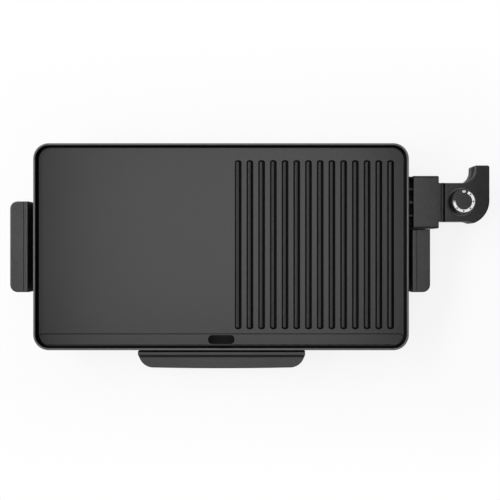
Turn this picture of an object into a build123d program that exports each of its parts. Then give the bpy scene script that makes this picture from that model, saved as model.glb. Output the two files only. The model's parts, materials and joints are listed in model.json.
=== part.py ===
from build123d import *
import os
from math import cos, radians, sin, tan

# Electric griddle, in millimetres and degrees. Plan places count from the plate's centre,
# heights from the table.

# Cast plate
plate_length = 470.0
plate_depth = 259.0
plate_corner = 19.4
cooking_height = 62.0
floor_thickness = 4.5
rim_height = 10.0
rim_width = 2.4
rim_draft = 12.0
rim_round = 1.0
floor_bevel = 0.5
skirt_bevel = 2.5

# Ridges of the grill half
ridge_count = 14
ridge_start = 21.3
ridge_side_gap = 16.9
ridge_front_gap = 5.2
ridge_back_gap = 15.5
ridge_width = 8.6
ridge_height = 4.6
ridge_draft = 4.0
ridge_round = 4.1
ridge_end_width = 10.8
ridge_end_slope = 30.0

# Gutter and drain
gutter_width = 15.4
gutter_drop = 1.0
gutter_corner = 4.0
gutter_slope = 45.0
drain_length = 33.2
drain_width = 11.2
drain_corner = 4.8
drain_inset = 7.7
collar_wall = 2.0
collar_drop = 4.5

# Heating element in its cast channel
heater_radius = 3.5
heater_fit = 0.1
heater_bend = 24.0
heater_side_inset = 67.0
heater_front_inset = 51.5
heater_end_inset = 25.0
channel_width = 13.0
channel_wrap = 2.0
channel_root = 0.5
channel_end_gap = 4.0
terminal_drop = 5.5

# Terminals, sensor boss and socket bracket
probe_offset = 56.4
pin_spacing = 33.4
pin_radius = 2.0
pin_reach = 20.0
insulator_radius = 4.0
shoulder_radius = 5.5
shoulder_length = 5.0
insulator_length = 12.0
sensor_radius = 3.0
sensor_fit = 0.2
sensor_boss_wall = 3.3
sensor_boss_length = 28.0
sensor_boss_cap = 3.0
sensor_boss_inset = 19.0
sensor_tip_gap = 1.0
sensor_tip_bevel = 1.2
bracket_sheet = 1.5
bracket_inset = 13.0
bracket_half_width = 28.0
bracket_drop = 12.5
ear_length = 12.0
ear_depth = 13.0
ear_lap = 2.0
bracket_boss_radius = 4.5
bracket_boss_height = 6.5
rod_hole_gap = 0.6

# Stands and grips
beam_inset = 14.0
beam_width = 36.0
beam_corner = 6.0
beam_bevel = 1.5
stand_wall = 3.0
stand_boss_radius = 5.5
stand_boss_height = 10.5
stand_boss_gap = 2.9
spacer_thickness = 3.0
spacer_radius = 6.5
foot_screw_gap = 14.0
foot_end_gap = 12.0
left_gap = 10.9
right_gap = 7.4
grip_width = 23.1
grip_half_length = 57.8
grip_corner = 9.5
grip_round = 1.5
grip_drop = 17.0
grip_lip = 17.0
grip_line_inset = 5.6
grip_line_width = 0.9
grip_line_depth = 0.9
grip_hood_gap = 0.8
web_drop = 11.0
gusset_depth = 10.0
gusset_count = 3
guard_gap = 2.5
guard_drop = 12.0

# Rubber feet
foot_height = 5.0
foot_radius = 8.0
foot_draft = 8.0
foot_post_radius = 7.0
stem_radius = 3.0
stem_length = 7.0
stem_room = 1.0

# Tray rails
rail_sheet = 1.2
rail_bend = 1.8
rail_flange = 15.0
rail_ledge = 5.5
rail_drop = 6.0
rail_length = 108.0
rail_boss_radius = 5.0
rail_boss_height = 10.0
rail_screw_spacing = 54.0
rail_front_gap = 4.0

# Drip tray
tray_depth = 126.0
tray_height = 22.0
tray_corner = 14.0
tray_draft = 6.0
tray_wall = 2.0
tray_bevel = 3.0
tray_flange = 6.0
tray_side_gap = 1.5
tray_slide_gap = 0.3
tray_front_gap = 3.5
front_width = 212.8
front_overhang = 12.4
band_thickness = 5.3
band_rise = 10.2
band_skirt = 14.0
band_shelf = 7.0
band_round = 1.0
pull_depth = 17.2
pull_lap = 4.0
pull_corner = 19.0
pull_bow = 1.4
pull_drop = 5.0
pull_thickness = 4.0
pull_lip = 9.0
pull_wall = 2.4
pull_round = 1.0
step_round = 3.2

# Control probe
hood_gap = 8.0
hood_length = 31.9
hood_width = 66.4
hood_drop = 10.0
hood_lift = 2.0
hood_wall = 2.6
hood_corner = 2.5
hood_round = 1.2
hood_seam_width = 0.8
hood_line_place = 1.4
hood_line_width = 1.8
hood_line_depth = 0.7
hood_line_drop = 2.6
neck_length = 6.2
neck_groove = 1.4
neck_wall = 3.0
neck_corner = 2.0
body_length = 57.1
body_width = 48.9
body_step = 2.0
body_lift = 0.5
body_round_radius = 30.6
body_round_shift = 2.0
heel_angle = 70.0
heel_run = 7.0
heel_blend = 10.0
heel_soften = 3.2
tail_width = 19.0
tail_reach = 46.7
tail_corner = 2.6
hook_radius = 16.0
shell_wall = 2.2
shell_round = 1.8
seam_chamfer = 1.0
tongue_length = 6.0
tongue_fit = 0.2
shell_post_radius = 4.6
shell_post_inset = 13.0
shell_post_lap = 0.6
tail_post_inset = 18.0
gland_radius = 6.0
gland_flange_radius = 6.8
gland_flange_length = 4.0
gland_bore_radius = 3.6
gland_length = 8.0

# Contacts and thermostat
block_fit = 0.15
block_length = 12.0
socket_radius = 3.2
socket_bore_gap = 0.2
socket_reach = 24.0
socket_tail = 3.0
socket_slit = 0.8
socket_slit_length = 14.0
frame_sheet = 1.2
frame_width = 14.0
frame_lift = 1.5
frame_inset = 10.0
frame_length = 39.0
frame_post_radius = 3.5
frame_post_inset = 8.0
upright_margin = 4.7
rod_tail = 2.0
leaf_thickness = 0.4
leaf_width = 8.0
leaf_length = 26.0
leaf_end_gap = 4.0
ring_radius = 4.5
ring_height = 3.6
stack_offset = 21.0
rivet_radius = 1.5
rivet_head_radius = 3.0
rivet_head_height = 1.2
point_radius = 2.0
point_height = 1.5

# Dial and spindle
dial_inset = 20.0
dial_radius = 17.8
dial_top_radius = 14.7
dial_neck_radius = 16.6
dial_skirt = 3.0
dial_skirt_slope = 1.2
dial_height = 16.1
dial_gap = 0.4
dial_bevel = 0.6
dial_roof = 3.5
spindle_radius = 3.0
spindle_fit = 0.05
spindle_end_gap = 0.5
spindle_leaf_gap = 0.4
spindle_collar_radius = 4.6
spindle_collar_height = 2.0
spindle_collar_gap = 0.3
bush_radius = 6.0
bush_length = 3.0

# Screws and general fits
stand_screw_radius = 2.0
stand_screw_head_radius = 4.0
stand_screw_head_height = 2.6
stand_screw_bite = 8.0
small_screw_radius = 1.5
small_screw_head_radius = 3.0
small_screw_head_height = 1.8
small_screw_bite = 5.0
shell_screw_recess = 3.0
head_sides = 6
shank_sides = 12
screw_clearance = 0.3
seat_fit = 0.05

# Heights
rim_top = cooking_height + rim_height
floor_under = cooking_height - floor_thickness
terminal_height = floor_under - terminal_drop
deck_top = floor_under - stand_boss_height - spacer_thickness
grip_top = rim_top - grip_drop
grip_bottom = grip_top - grip_lip
web_top = grip_bottom - web_drop
web_bottom = web_top - stand_wall
rail_top = floor_under - rail_boss_height
ledge_top = rail_top - rail_drop
tray_rim = ledge_top + tray_slide_gap + tray_wall
band_top = tray_rim + band_rise
band_bottom = tray_rim - band_skirt
pull_top = band_top - pull_drop
hood_top = rim_top - hood_drop
hood_bottom = web_top + hood_lift
hood_height = hood_top - hood_bottom
hood_middle = (hood_top + hood_bottom) / 2
guard_top = hood_top - guard_drop
body_top = hood_top - body_step
body_bottom = hood_bottom + body_lift
body_height = body_top - body_bottom
body_middle = (body_top + body_bottom) / 2
neck_height = hood_top - body_bottom
neck_middle = (hood_top + body_bottom) / 2
frame_bottom = body_bottom + shell_wall + frame_lift
frame_top = frame_bottom + frame_sheet
upright_height = terminal_height + upright_margin - frame_bottom
lower_leaf = frame_top + ring_height
upper_leaf = lower_leaf + leaf_thickness + ring_height
stack_top = upper_leaf + leaf_thickness + ring_height
dial_bottom = body_top + dial_gap
dial_top = dial_bottom + dial_height

# Plan places
half_length = plate_length / 2
half_depth = plate_depth / 2
wall_lean = rim_height * tan(radians(rim_draft))
floor_half_length = half_length - rim_width - wall_lean
floor_half_depth = half_depth - rim_width - wall_lean
gutter_line = gutter_width - floor_half_depth
ridge_pitch = (floor_half_length - ridge_side_gap - ridge_start) / (ridge_count - 1)
ridge_middle = ridge_start + ridge_pitch * (ridge_count - 1) / 2
ridge_front = gutter_line + ridge_front_gap
ridge_back = floor_half_depth - ridge_back_gap
drain_middle = drain_inset - floor_half_depth

back_row = probe_offset + pin_spacing / 2
return_row = probe_offset - pin_spacing / 2
front_row = heater_front_inset - half_depth
heater_left = heater_side_inset - half_length
heater_right = half_length - heater_side_inset
element_end = half_length - heater_end_inset
channel_end = element_end - channel_end_gap
sensor_boss_end = half_length - sensor_boss_inset
sensor_boss_radius = sensor_radius + sensor_boss_wall
sensor_tip = sensor_boss_end - sensor_boss_length + sensor_boss_cap + sensor_tip_gap
bracket_face = half_length - bracket_inset
ear_middle = bracket_half_width + ear_length / 2 - ear_lap / 2
ear_screw_x = bracket_face + bracket_sheet - ear_depth / 2

stand_screw_x = half_length - beam_inset - beam_width / 2
stand_screw_y = back_row + channel_width / 2 + stand_boss_radius + stand_boss_gap
foot_y = stand_screw_y + foot_screw_gap
beam_length = 2 * (foot_y + foot_end_gap)
beam_outer = half_length - beam_inset

tray_width = front_width - 2 * front_overhang
tray_front = -half_depth - tray_front_gap
tray_middle = tray_front - band_thickness / 2 + tray_depth / 2
band_front = tray_front - band_thickness
rail_web = tray_width / 2 + tray_flange + tray_side_gap
rail_screw_x = rail_web + rail_flange / 2 + rail_sheet / 2
rail_front = rail_front_gap - half_depth
rail_middle = rail_front + rail_length / 2

hood_face = half_length + hood_gap
hood_back = hood_face + hood_length
neck_back = hood_back + neck_length
body_face = neck_back + neck_groove
body_half = body_width / 2
body_right = body_face + body_length
round_middle = body_right - body_round_radius
round_y = probe_offset + body_round_shift
tail_end = probe_offset + tail_reach
tail_left = body_right - tail_width
tail_middle = body_right - tail_width / 2
tongue_width = body_width - 2 * (shell_wall + tongue_fit)
tongue_height = body_height - 2 * (shell_wall + tongue_fit)
passage_width = body_width - 2 * neck_wall - 2 * tongue_fit
passage_height = body_height - 2 * neck_wall - 2 * tongue_fit
block_face = hood_back - hood_wall
pin_end = hood_face + pin_reach
dial_x = body_face + dial_inset
frame_face = body_face + frame_inset
stack_x = dial_x + stack_offset
leaf_start = stack_x + leaf_end_gap - leaf_length
post_y = body_half - shell_wall - shell_post_radius + shell_post_lap

# The whole is centred on its own box, with the plate off to one side
left_reach = half_length + left_gap + grip_width
front_reach = pull_depth - band_front
plate_x = (left_reach - body_right) / 2
plate_y = (front_reach - half_depth) / 2

stand_screw_places = [(sx * stand_screw_x, sy * stand_screw_y) for sx in (-1, 1) for sy in (-1, 1)]
foot_places = [(sx * stand_screw_x, sy * foot_y) for sx in (-1, 1) for sy in (-1, 1)]
rail_screw_places = [
    (sx * rail_screw_x, rail_middle + sy * rail_screw_spacing / 2) for sx in (-1, 1) for sy in (-1, 1)
]
ear_places = [(ear_screw_x, probe_offset + sy * ear_middle) for sy in (-1, 1)]
pin_places = [(probe_offset + sy * pin_spacing / 2, terminal_height) for sy in (-1, 1)]
sensor_place = (probe_offset, terminal_height)
post_places = [
    (body_face + shell_post_inset, probe_offset - post_y),
    (body_face + shell_post_inset, probe_offset + post_y),
    (tail_middle, tail_end - tail_post_inset),
]
frame_post_places = [
    (frame_face + frame_post_inset, probe_offset),
    (frame_face + frame_length - frame_post_inset, probe_offset),
]


def level(height):
    return Plane((plate_x, plate_y, height))


def facing_right(x):
    return Plane((plate_x + x, plate_y, 0), x_dir=(0, 1, 0), z_dir=(1, 0, 0))


def facing_front(y):
    return Plane((plate_x, plate_y + y, 0), x_dir=(1, 0, 0), z_dir=(0, -1, 0))


def heater_corners(end):
    return [
        (end, back_row),
        (heater_left, back_row),
        (heater_left, front_row),
        (heater_right, front_row),
        (heater_right, return_row),
        (end, return_row),
    ]


def upright_screws(places, seat, head_radius, head_height, shank_radius, shank_length):
    with BuildPart() as screws:
        with BuildSketch(level(seat)):
            with Locations(*places):
                RegularPolygon(head_radius, head_sides)
        extrude(amount=-head_height)
        with BuildSketch(level(seat)):
            with Locations(*places):
                RegularPolygon(shank_radius, shank_sides)
        extrude(amount=shank_length)
    return screws


# Ridges with drafted flanks, round tops and round sloping ends
with BuildPart() as ridges:
    with BuildSketch(facing_front(ridge_back)) as ridge_sections:
        with Locations((ridge_middle, cooking_height + ridge_height / 2)):
            with GridLocations(ridge_pitch, 0, ridge_count, 1):
                Trapezoid(ridge_width, ridge_height, 90 - ridge_draft)
        fillet(ridge_sections.vertices().group_by(Axis.Y)[-1], ridge_round)
    extrude(amount=ridge_back - ridge_front)
    with BuildSketch(level(cooking_height)):
        with Locations((ridge_middle, (ridge_front + ridge_back) / 2)):
            with GridLocations(ridge_pitch, 0, ridge_count, 1):
                SlotOverall(ridge_back - ridge_front, ridge_end_width, rotation=90)
    extrude(amount=ridge_height, taper=ridge_end_slope, mode=Mode.INTERSECT)

# Cast plate: a shallow pan with drafted walls
with BuildPart() as griddle_plate:
    with BuildSketch(level(floor_under)):
        RectangleRounded(plate_length, plate_depth, plate_corner)
    extrude(amount=floor_thickness + rim_height)
    chamfer(griddle_plate.faces().sort_by(Axis.Z)[0].edges(), skirt_bevel)
    with BuildSketch(level(rim_top)):
        RectangleRounded(plate_length - 2 * rim_width, plate_depth - 2 * rim_width, plate_corner - rim_width)
    extrude(amount=-rim_height, taper=rim_draft, mode=Mode.SUBTRACT)
    fillet(griddle_plate.faces().sort_by(Axis.Z)[-1].edges(), rim_round)
    cooking_floor = griddle_plate.faces().filter_by(Axis.Z).sort_by(Axis.Z)[-2]
    chamfer(cooking_floor.edges(), floor_bevel)

    # Gutter along the front, one step lower than the floor
    with BuildSketch(level(cooking_height)):
        with Locations((0, gutter_line - (gutter_width - floor_bevel) / 2)):
            RectangleRounded(2 * (floor_half_length - floor_bevel), gutter_width - floor_bevel, gutter_corner)
    extrude(amount=-gutter_drop, taper=gutter_slope, mode=Mode.SUBTRACT)

    # Ridges cast on the right half of the floor
    add(ridges.part)

    # Drain slot with a collar below it
    with BuildSketch(level(floor_under)):
        with Locations((0, drain_middle)):
            RectangleRounded(
                drain_length + 2 * collar_wall, drain_width + 2 * collar_wall, drain_corner + collar_wall
            )
    extrude(amount=-collar_drop)
    with BuildSketch(level(cooking_height)):
        with Locations((0, drain_middle)):
            RectangleRounded(drain_length, drain_width, drain_corner)
    extrude(amount=-floor_thickness - collar_drop, mode=Mode.SUBTRACT)

    # Channel that wraps the heating element
    with BuildLine(level(terminal_height)) as channel_route:
        FilletPolyline(*heater_corners(channel_end), radius=heater_bend)
    with BuildSketch(facing_right(channel_end)):
        channel_top = floor_under + channel_root
        channel_bottom = terminal_height - channel_wrap
        with Locations((back_row, (channel_top + channel_bottom) / 2)):
            Rectangle(channel_width, channel_top - channel_bottom)
        groove_top = terminal_height + heater_radius + heater_fit
        with Locations((back_row, (groove_top + channel_bottom) / 2)):
            Rectangle(2 * (heater_radius + heater_fit), groove_top - channel_bottom, mode=Mode.SUBTRACT)
    sweep(path=channel_route.line)

    # Boss for the sensor rod, bored from the right
    with BuildSketch(facing_right(sensor_boss_end)):
        with Locations(sensor_place):
            Circle(sensor_boss_radius)
    extrude(amount=-sensor_boss_length)
    with BuildSketch(facing_right(sensor_boss_end)):
        with Locations(sensor_place):
            Circle(sensor_radius + sensor_fit)
    extrude(amount=sensor_boss_cap - sensor_boss_length, mode=Mode.SUBTRACT)

    # Screw bosses for stands, rails and bracket
    for places, boss_radius, boss_height, screw_radius, bite in (
        (stand_screw_places, stand_boss_radius, stand_boss_height, stand_screw_radius, stand_screw_bite),
        (rail_screw_places, rail_boss_radius, rail_boss_height, small_screw_radius, small_screw_bite),
        (ear_places, bracket_boss_radius, bracket_boss_height, small_screw_radius, small_screw_bite),
    ):
        with BuildSketch(level(floor_under)):
            with Locations(*places):
                Circle(boss_radius)
        extrude(amount=-boss_height)
        with BuildSketch(level(floor_under - boss_height)):
            with Locations(*places):
                Circle(screw_radius + seat_fit)
        extrude(amount=bite, mode=Mode.SUBTRACT)

# Tubular heating element
with BuildPart() as heating_element:
    with BuildLine(level(terminal_height)) as element_route:
        FilletPolyline(*heater_corners(element_end), radius=heater_bend)
    with BuildSketch(facing_right(element_end)):
        with Locations((back_row, terminal_height)):
            Circle(heater_radius)
    sweep(path=element_route.line)

# Terminal pins in line with the element's two ends
with BuildPart() as terminal_pins:
    with BuildSketch(facing_right(element_end)):
        with Locations(*pin_places):
            Circle(pin_radius)
    extrude(amount=pin_end - element_end)
    chamfer(terminal_pins.faces().group_by(Axis.X)[-1].edges(), pin_radius / 3)

# Shouldered ceramic bushes round the pins
with BuildPart() as pin_insulators:
    with BuildSketch(facing_right(bracket_face)):
        with Locations(*pin_places):
            Circle(shoulder_radius)
    extrude(amount=-shoulder_length)
    with BuildSketch(facing_right(bracket_face)):
        with Locations(*pin_places):
            Circle(insulator_radius)
    extrude(amount=insulator_length - shoulder_length)
    with BuildSketch(facing_right(bracket_face - shoulder_length)):
        with Locations(*pin_places):
            Circle(pin_radius + seat_fit)
    extrude(amount=insulator_length, mode=Mode.SUBTRACT)

# Sheet bracket that holds the bushes, with two bent ears
with BuildPart() as socket_bracket:
    with BuildSketch(facing_right(bracket_face)):
        with Locations((probe_offset, floor_under - bracket_drop / 2)):
            Rectangle(2 * bracket_half_width, bracket_drop)
        with Locations(*pin_places):
            Circle(insulator_radius + seat_fit, mode=Mode.SUBTRACT)
        with Locations(sensor_place):
            Circle(sensor_radius + rod_hole_gap, mode=Mode.SUBTRACT)
    extrude(amount=bracket_sheet)
    with BuildSketch(level(floor_under - bracket_boss_height)):
        with Locations(*ear_places):
            Rectangle(ear_depth, ear_length + ear_lap)
            Circle(small_screw_radius + screw_clearance, mode=Mode.SUBTRACT)
    extrude(amount=-bracket_sheet)

bracket_screws = upright_screws(
    ear_places,
    floor_under - bracket_boss_height - bracket_sheet,
    small_screw_head_radius,
    small_screw_head_height,
    small_screw_radius,
    bracket_sheet + small_screw_bite - screw_clearance,
)


# Stand: a hollow beam under the plate, with a web out to a hollow grip
def make_stand(side, gap, grip_front, grip_back, web_back):
    grip_inner = half_length + gap
    grip_outer = grip_inner + grip_width
    grip_place = (side * (grip_inner + grip_width / 2), (grip_front + grip_back) / 2)
    grip_length = grip_back - grip_front
    beam_place = (side * stand_screw_x, 0)
    web_inner = beam_outer - stand_wall / 2
    feet = [(side * stand_screw_x, sy * foot_y) for sy in (-1, 1)]
    outer_end = -1 if side > 0 else 0
    round_corners = 1 if web_back > grip_back else 2
    with BuildPart() as stand:
        with BuildSketch(level(foot_height)):
            with Locations(beam_place):
                RectangleRounded(beam_width, beam_length, beam_corner)
        extrude(amount=deck_top - foot_height)
        chamfer(stand.faces().sort_by(Axis.Z)[-1].edges(), beam_bevel)
        with BuildSketch(level(foot_height)):
            with Locations(beam_place):
                RectangleRounded(
                    beam_width - 2 * stand_wall, beam_length - 2 * stand_wall, beam_corner - stand_wall
                )
        extrude(amount=deck_top - stand_wall - foot_height, mode=Mode.SUBTRACT)
        with BuildSketch(level(foot_height)):
            with Locations(*feet):
                Circle(foot_post_radius)
        extrude(amount=deck_top - stand_wall / 2 - foot_height)
        with BuildSketch(level(foot_height)):
            with Locations(*feet):
                Circle(stem_radius + seat_fit)
        extrude(amount=stem_length + stem_room, mode=Mode.SUBTRACT)
        with BuildSketch(level(deck_top)):
            with Locations((side * stand_screw_x, stand_screw_y), (side * stand_screw_x, -stand_screw_y)):
                Circle(stand_screw_radius + screw_clearance)
        extrude(amount=-stand_wall, mode=Mode.SUBTRACT)

        # Web and its gussets
        web_outer = grip_inner + stand_wall
        with BuildSketch(level(web_bottom)):
            with Locations((side * (web_inner + web_outer) / 2, grip_place[1])):
                Rectangle(web_outer - web_inner, grip_length)
        extrude(amount=stand_wall)
        with BuildSketch(level(web_bottom)):
            with Locations((side * (web_inner + web_outer) / 2, grip_place[1])):
                with GridLocations(0, (grip_length - stand_wall) / (gusset_count - 1), 1, gusset_count):
                    Rectangle(web_outer - web_inner, stand_wall)
        extrude(amount=-gusset_depth)

        # Shelf under the probe, where the grip stops short, with guards beside the pins
        if web_back > grip_back:
            guard_inner = bracket_face + bracket_sheet + guard_gap
            guard_outer = hood_face - grip_hood_gap
            with BuildSketch(level(web_bottom)):
                with Locations((side * (web_inner + grip_outer) / 2, (grip_back + web_back) / 2)):
                    Rectangle(grip_outer - web_inner, web_back - grip_back)
            extrude(amount=stand_wall)
            with BuildSketch(level(web_bottom)):
                with Locations((side * (guard_inner + guard_outer) / 2, probe_offset)):
                    with GridLocations(0, hood_width - stand_wall, 1, 2):
                        Rectangle(guard_outer - guard_inner, stand_wall)
            extrude(amount=guard_top - web_bottom)

        # Grip: inner wall up from the web, then a rounded cap open below
        with BuildSketch(level(web_bottom)):
            with Locations((side * (grip_inner + stand_wall / 2), grip_place[1])):
                Rectangle(stand_wall, grip_length)
        extrude(amount=grip_bottom - web_bottom)
        with BuildSketch(level(grip_bottom)) as cap:
            with Locations(grip_place):
                Rectangle(grip_width, grip_length)
            cap_corners = cap.vertices().group_by(Axis.X)[outer_end].sort_by(Axis.Y)
            fillet(cap_corners[:round_corners], grip_corner)
        extrude(amount=grip_lip)
        with BuildSketch(level(grip_bottom)) as hollow:
            with Locations(grip_place):
                Rectangle(grip_width - 2 * stand_wall, grip_length - 2 * stand_wall)
            hollow_corners = hollow.vertices().group_by(Axis.X)[outer_end].sort_by(Axis.Y)
            fillet(hollow_corners[:round_corners], grip_corner - stand_wall)
        extrude(amount=grip_lip - stand_wall, mode=Mode.SUBTRACT)
        fillet(stand.faces().sort_by(Axis.Z)[-1].edges(), grip_round)
        with BuildSketch(level(grip_top)):
            with Locations((side * (grip_inner + grip_line_inset), grip_place[1])):
                Rectangle(grip_line_width, grip_length - 2 * grip_round)
        extrude(amount=-grip_line_depth, mode=Mode.SUBTRACT)
    return stand


hood_front_side = probe_offset - hood_width / 2
hood_back_side = probe_offset + hood_width / 2
left_stand = make_stand(-1, left_gap, -grip_half_length, grip_half_length, grip_half_length)
right_stand = make_stand(1, right_gap, -grip_half_length, hood_front_side - grip_hood_gap, hood_back_side)

# Heat spacers between plate and stands
with BuildPart() as stand_spacers:
    with BuildSketch(level(deck_top)):
        with Locations(*stand_screw_places):
            Circle(spacer_radius)
            Circle(stand_screw_radius + screw_clearance, mode=Mode.SUBTRACT)
    extrude(amount=spacer_thickness)

stand_screws = upright_screws(
    stand_screw_places,
    deck_top - stand_wall,
    stand_screw_head_radius,
    stand_screw_head_height,
    stand_screw_radius,
    stand_wall + spacer_thickness + stand_screw_bite - screw_clearance,
)

# Rubber feet with push-in stems
with BuildPart() as rubber_feet:
    with BuildSketch(level(foot_height)):
        with Locations(*foot_places):
            Circle(foot_radius)
    extrude(amount=-foot_height, taper=foot_draft)
    with BuildSketch(level(foot_height)):
        with Locations(*foot_places):
            Circle(stem_radius)
    extrude(amount=stem_length)


# Tray rail: a bent strip with a flange above and a ledge below
def make_rail(side):
    web_middle = rail_web + rail_sheet / 2
    flange_height = rail_top - rail_sheet / 2
    ledge_height = ledge_top - rail_sheet / 2
    with BuildPart() as rail:
        with BuildSketch(facing_front(rail_front + rail_length)):
            with BuildLine():
                FilletPolyline(
                    (side * (rail_web + rail_flange), flange_height),
                    (side * web_middle, flange_height),
                    (side * web_middle, ledge_height),
                    (side * (rail_web - rail_ledge), ledge_height),
                    radius=rail_bend,
                )
            trace(line_width=rail_sheet)
        extrude(amount=rail_length)
        with BuildSketch(level(rail_top)):
            with Locations(*[place for place in rail_screw_places if place[0] * side > 0]):
                Circle(small_screw_radius + screw_clearance)
        extrude(amount=-rail_sheet, mode=Mode.SUBTRACT)
    return rail


left_rail = make_rail(-1)
right_rail = make_rail(1)
rail_screws = upright_screws(
    rail_screw_places,
    rail_top - rail_sheet,
    small_screw_head_radius,
    small_screw_head_height,
    small_screw_radius,
    rail_sheet + small_screw_bite - screw_clearance,
)

# Plan of the tray's pull: it laps into the band, and its front edge is bowed
with BuildSketch() as pull_plan:
    with BuildLine():
        pull_side = band_front - pull_depth + pull_bow
        Polyline(
            (-front_width / 2, pull_side),
            (-front_width / 2, band_front + pull_lap),
            (front_width / 2, band_front + pull_lap),
            (front_width / 2, pull_side),
        )
        ThreePointArc(
            (front_width / 2, pull_side), (0, band_front - pull_depth), (-front_width / 2, pull_side)
        )
    make_face()
    fillet(pull_plan.vertices().group_by(Axis.Y)[0], pull_corner)

# Hollow rounding where the pull meets the band
with BuildPart() as pull_step:
    with BuildSketch(facing_right(-front_width / 2)):
        with BuildLine():
            Polyline(
                (band_front, pull_top + step_round),
                (band_front, pull_top),
                (band_front - step_round, pull_top),
            )
            CenterArc((band_front - step_round, pull_top + step_round), step_round, -90, 90)
        make_face()
    extrude(amount=front_width)
    with BuildSketch(level(pull_top)):
        add(pull_plan.sketch)
    extrude(amount=step_round, mode=Mode.INTERSECT)

# Drip tray: drafted pan with side flanges, an upright band and a hollow pull
with BuildPart() as drip_tray:
    with BuildSketch(level(tray_rim)):
        with Locations((0, tray_middle)):
            RectangleRounded(tray_width, tray_depth, tray_corner)
    extrude(amount=-tray_height, taper=tray_draft)
    chamfer(drip_tray.faces().sort_by(Axis.Z)[0].edges(), tray_bevel)
    with BuildSketch(level(tray_rim)):
        with Locations((0, tray_middle)):
            RectangleRounded(tray_width + 2 * tray_flange, tray_depth, tray_corner)
    extrude(amount=-tray_wall)
    with BuildSketch(level(band_bottom)):
        with Locations((0, tray_front - band_thickness / 2)):
            Rectangle(front_width, band_thickness)
    extrude(amount=band_top - band_bottom)
    with BuildSketch(level(tray_rim)):
        with Locations((0, tray_front + band_shelf / 2)):
            Rectangle(front_width, band_shelf)
    extrude(amount=-tray_wall)
    with BuildSketch(level(pull_top)):
        add(pull_plan.sketch)
    extrude(amount=-pull_lip)
    pull_edges = drip_tray.faces().filter_by(Axis.Z).filter_by_position(
        Axis.Z, pull_top - pull_round, pull_top + pull_round
    ).edges()
    fillet(pull_edges.filter_by_position(Axis.Y, -front_reach, band_front + plate_y - pull_round), pull_round)
    add(pull_step.part)
    with BuildSketch(level(pull_top - pull_lip)):
        add(pull_plan.sketch)
        offset(amount=-pull_wall, mode=Mode.REPLACE)
        with Locations((0, band_front)):
            Rectangle(front_width, 2 * pull_wall, mode=Mode.SUBTRACT)
    extrude(amount=pull_lip - pull_thickness, mode=Mode.SUBTRACT)
    fillet(drip_tray.faces().sort_by(Axis.Z)[-1].edges().filter_by(Axis.X), band_round)
    with BuildSketch(level(tray_rim)):
        with Locations((0, tray_middle)):
            RectangleRounded(tray_width - 2 * tray_wall, tray_depth - 2 * tray_wall, tray_corner - tray_wall)
    extrude(amount=tray_wall - tray_height, taper=tray_draft, mode=Mode.SUBTRACT)

# Probe hood: a box open towards the plate, its neck and a tongue into the shells
with BuildPart() as probe_hood:
    with BuildSketch(facing_right(hood_face)):
        with Locations((probe_offset, hood_middle)):
            RectangleRounded(hood_width, hood_height, hood_corner)
    extrude(amount=hood_length)
    fillet(probe_hood.faces().sort_by(Axis.X)[-1].edges(), hood_round)
    with BuildSketch(facing_right(hood_back - 2 * hood_round)):
        with Locations((probe_offset, neck_middle)):
            RectangleRounded(body_width, neck_height, neck_corner)
    extrude(amount=neck_length + 2 * hood_round)
    with BuildSketch(facing_right(hood_back + hood_line_place)):
        with Locations((probe_offset, neck_middle)):
            Rectangle(body_width, neck_height)
            Rectangle(
                body_width - 2 * hood_line_depth, neck_height - 2 * hood_line_depth, mode=Mode.SUBTRACT
            )
    extrude(amount=hood_line_width, mode=Mode.SUBTRACT)
    with BuildSketch(level(hood_top)):
        with Locations((hood_back + hood_line_place + hood_line_width / 2, probe_offset)):
            Rectangle(hood_line_width, body_width)
    extrude(amount=-hood_line_drop, mode=Mode.SUBTRACT)
    with BuildSketch(level(hood_top)):
        with Locations((hood_back - hood_seam_width / 2, probe_offset)):
            Rectangle(hood_seam_width, body_width)
    extrude(amount=-hood_line_depth, mode=Mode.SUBTRACT)
    with BuildSketch(facing_right(neck_back)):
        with Locations((probe_offset, body_middle)):
            Rectangle(tongue_width, tongue_height)
    extrude(amount=neck_groove + tongue_length)
    with BuildSketch(facing_right(hood_face)):
        with Locations((probe_offset, hood_middle)):
            RectangleRounded(hood_width - 2 * hood_wall, hood_height - 2 * hood_wall, hood_corner / 2)
    extrude(amount=hood_length - hood_wall, mode=Mode.SUBTRACT)
    with BuildSketch(facing_right(block_face)):
        with Locations((probe_offset, body_middle)):
            Rectangle(passage_width, passage_height)
    extrude(amount=body_face + tongue_length - block_face, mode=Mode.SUBTRACT)

# Plan of the probe body: straight sides, a round end with a heel, a hooked tail
with BuildSketch() as body_plan:
    heel_x = round_middle + body_round_radius * cos(radians(heel_angle))
    heel_start = (heel_x - heel_run, probe_offset - body_half)
    heel_end = (heel_x, round_y - body_round_radius * sin(radians(heel_angle)))
    hook_y = probe_offset + body_half + hook_radius
    with BuildLine():
        Polyline((body_face, probe_offset - body_half), heel_start, heel_end)
        CenterArc((round_middle, round_y), body_round_radius, -heel_angle, heel_angle)
        Polyline((body_right, round_y), (body_right, tail_end), (tail_left, tail_end), (tail_left, hook_y))
        CenterArc((tail_left - hook_radius, hook_y), hook_radius, 0, -90)
        Polyline(
            (tail_left - hook_radius, probe_offset + body_half),
            (body_face, probe_offset + body_half),
            (body_face, probe_offset - body_half),
        )
    make_face()
    fillet(body_plan.vertices().group_by(Axis.Y)[-1], tail_corner)
    fillet(body_plan.vertices().sort_by_distance(heel_start)[0], heel_blend)
    fillet(body_plan.vertices().sort_by_distance(heel_end)[0], heel_soften)

with BuildSketch() as body_room:
    add(body_plan.sketch)
    offset(amount=-shell_wall, mode=Mode.REPLACE)


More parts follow.
